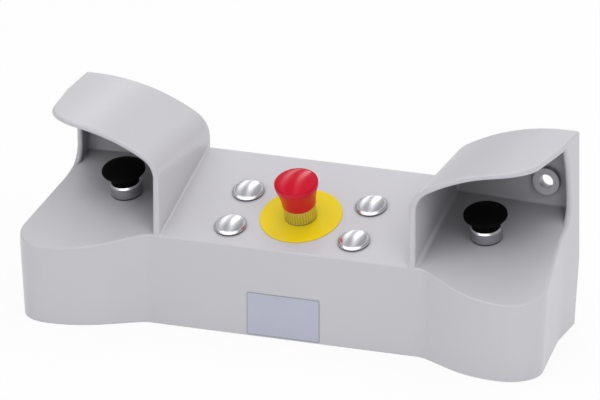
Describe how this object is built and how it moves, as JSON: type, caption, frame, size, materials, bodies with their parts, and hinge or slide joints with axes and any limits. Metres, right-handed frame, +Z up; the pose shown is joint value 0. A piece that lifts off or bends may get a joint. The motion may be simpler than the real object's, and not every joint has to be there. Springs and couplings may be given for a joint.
{
  "type": "two hand control station",
  "caption": "Two-hand control station: hooded palm buttons on rounded lobes either side of a sloped deck with an emergency stop, backing disk and blanking plugs.",
  "frame": {"origin": "on the underside, on the mirror plane, straight below the point where the emergency stop's axis meets the centre deck", "axes": "+X to the operator's right, +Y away from the operator, +Z up"},
  "size_m": [0.499, 0.1776, 0.1846],
  "materials": {
    "housing_grey": "satin moulded, light grey",
    "plate_steel": "zinc plated sheet",
    "screw_steel": "zinc plated",
    "black_rubber": "matt",
    "label_grey": "satin bluish grey, bare",
    "palm_black": "glossy black",
    "stop_red": "glossy red",
    "warning_yellow": "satin yellow",
    "chrome_plate": "bright chrome plate",
    "spring_steel": "bright spring steel",
    "inner_black": "matt black moulding",
    "nut_black": "matt black moulding",
    "contact_grey": "matt grey moulding",
    "gland_grey": "matt grey moulding",
    "rail_zinc": "zinc plated, folded",
    "terminal_beige": "matt moulding"
  },
  "bodies": {
    "root": {"base_gasket": "black_rubber", "base_plate": "plate_steel", "base_screws": "screw_steel", "gland_body": "gland_grey", "gland_cap_nut": "gland_grey", "gland_locknut": "gland_grey", "gland_seal_insert": "black_rubber", "housing": "housing_grey", "palm_left_collar": "chrome_plate", "palm_left_contact_closed": "contact_grey", "palm_left_contact_open": "contact_grey", "palm_left_holder": "inner_black", "palm_left_locking_nut": "nut_black", "palm_left_seal": "black_rubber", "palm_left_spring": "spring_steel", "palm_right_collar": "chrome_plate", "palm_right_contact_closed": "contact_grey", "palm_right_contact_open": "contact_grey", "palm_right_holder": "inner_black", "palm_right_locking_nut": "nut_black", "palm_right_seal": "black_rubber", "palm_right_spring": "spring_steel", "plug_1": "chrome_plate", "plug_2": "chrome_plate", "plug_3": "chrome_plate", "plug_4": "chrome_plate", "plug_nuts": "nut_black", "plug_seals": "black_rubber", "rating_plate": "label_grey", "stop_backing_plate": "warning_yellow", "stop_collar": "chrome_plate", "stop_contact_first": "contact_grey", "stop_contact_second": "contact_grey", "stop_holder": "inner_black", "stop_locking_nut": "nut_black", "stop_spring": "spring_steel", "terminal_blocks": "terminal_beige", "terminal_rail": "rail_zinc"},
    "palm_left_button": {"palm_left_cap": "palm_black", "palm_left_stem": "inner_black"},
    "palm_right_button": {"palm_right_cap": "palm_black", "palm_right_stem": "inner_black"},
    "stop_plunger": {"stop_stem": "inner_black"},
    "stop_knob": {"stop_head": "stop_red"}
  },
  "joints": [
    {"name": "palm_left_press", "type": "slide", "parent": "root", "child": "palm_left_button", "axis": [0.032, 0.2587, -0.9654], "range_m": [0, 0.0042], "stiffness_N_per_m": 900, "springref_m": -0.004, "deforming": ["palm_left_spring"]},
    {"name": "palm_right_press", "type": "slide", "parent": "root", "child": "palm_right_button", "axis": [-0.032, 0.2587, -0.9654], "range_m": [0, 0.0042], "stiffness_N_per_m": 900, "springref_m": -0.004, "deforming": ["palm_right_spring"]},
    {"name": "stop_press", "type": "slide", "parent": "root", "child": "stop_plunger", "axis": [0, 0.3387, -0.9409], "range_m": [0, 0.0045], "deforming": ["stop_spring"]},
    {"name": "stop_turn", "type": "hinge", "parent": "stop_plunger", "child": "stop_knob", "pos_m": [0, 0, 0.1013], "axis": [0, 0.3387, -0.9409], "range_deg": [0, 40], "stiffness_Nm_per_rad": 0.05, "springref_deg": -11.46}
  ]
}
